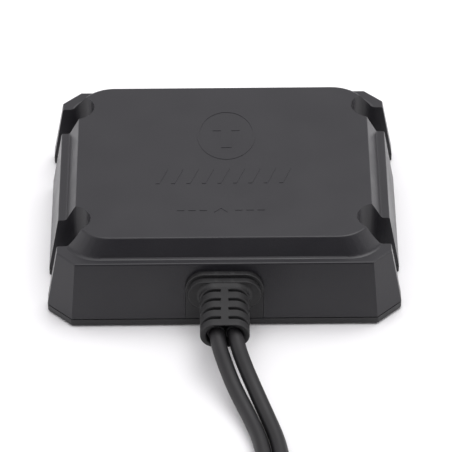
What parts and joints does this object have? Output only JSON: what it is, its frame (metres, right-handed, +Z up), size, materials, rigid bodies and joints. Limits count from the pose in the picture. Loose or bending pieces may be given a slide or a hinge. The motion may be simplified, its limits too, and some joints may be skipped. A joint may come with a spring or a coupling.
{
  "type": "cellular signal booster",
  "caption": "Flat eight-sided black housing with strap notches at its corners, a ribbed strain relief and two coiled leads ending in a screw-on coax plug and a barrel plug.",
  "frame": {"origin": "centre of the underside of the base plate", "axes": "+Z up through the lid, +X along the longer side, the leads leave towards -Y"},
  "size_m": [0.1203, 0.2556, 0.0249],
  "materials": {
    "housing_plastic": "fine satin grain",
    "base_plastic": "fine satin grain",
    "boot_rubber": "soft matt rubber",
    "seal_rubber": "matt",
    "lead_jacket": "satin cable jacket",
    "sleeve_black": "shrunk sleeve",
    "grip_black": "moulded grip",
    "tie_strap": "woven strap",
    "screw_steel": "zinc plated",
    "tin_plate": "tin plated",
    "nickel": "nickel plated",
    "gold_plate": "gold plated brass",
    "silver_plate": "fired silver",
    "circuit_board": "solder mask",
    "chip_black": "moulded",
    "ferrite": "pressed ferrite",
    "white_nylon": "natural nylon",
    "antenna_ceramic": "fired ceramic",
    "bare_coax": "clear brown fluoropolymer",
    "wire_red": "PVC insulation",
    "foam": "closed-cell foam"
  },
  "bodies": {
    "unit": {"amplifier_chip": "chip_black", "antenna_ceramic": "antenna_ceramic", "antenna_electrode": "silver_plate", "antenna_feed_pin": "gold_plate", "antenna_foam_pad": "foam", "antenna_ground_plane": "circuit_board", "antenna_spacers": "white_nylon", "band_filters": "chip_black", "base_gasket": "seal_rubber", "base_plate": "base_plastic", "base_screws": "screw_steel", "board_screws": "screw_steel", "cable_clamp": "base_plastic", "cable_clamp_screws": "screw_steel", "cable_entry_insert": "base_plastic", "capacitors": "tin_plate", "chip_resistors": "chip_black", "coax_coil": "lead_jacket", "coax_coil_tie": "tie_strap", "coax_cord": "lead_jacket", "coax_cord_tail": "lead_jacket", "coax_lead_inside": "lead_jacket", "coax_pigtail": "bare_coax", "controller_chip": "chip_black", "duplexers": "tin_plate", "main_board": "circuit_board", "plug_body": "gold_plate", "plug_centre_pin": "gold_plate", "plug_crimp_ferrule": "gold_plate", "plug_insulator": "white_nylon", "plug_sleeve": "sleeve_black", "power_coil": "lead_jacket", "power_coil_tie": "tie_strap", "power_cord": "lead_jacket", "power_cord_tail": "lead_jacket", "power_header": "white_nylon", "power_inductor": "ferrite", "power_lead_inside": "lead_jacket", "power_plug_barrel": "nickel", "power_plug_contact": "nickel", "power_plug_grip": "grip_black", "power_plug_insulator": "sleeve_black", "power_wire_plug": "white_nylon", "power_wires": "wire_red", "reference_crystal": "tin_plate", "rf_socket": "gold_plate", "rf_wire_plug": "gold_plate", "shield_cover": "tin_plate", "shield_frame": "tin_plate", "strain_relief_boot": "boot_rubber", "top_housing": "housing_plastic", "voltage_regulator": "chip_black"},
    "nut": {"coupling_nut": "gold_plate"}
  },
  "joints": [
    {"name": "coupling_nut_spin", "type": "hinge", "parent": "unit", "child": "nut", "pos_m": [0.0046, -0.2005, 0.004], "axis": [0, -1, 0], "continuous": true}
  ]
}
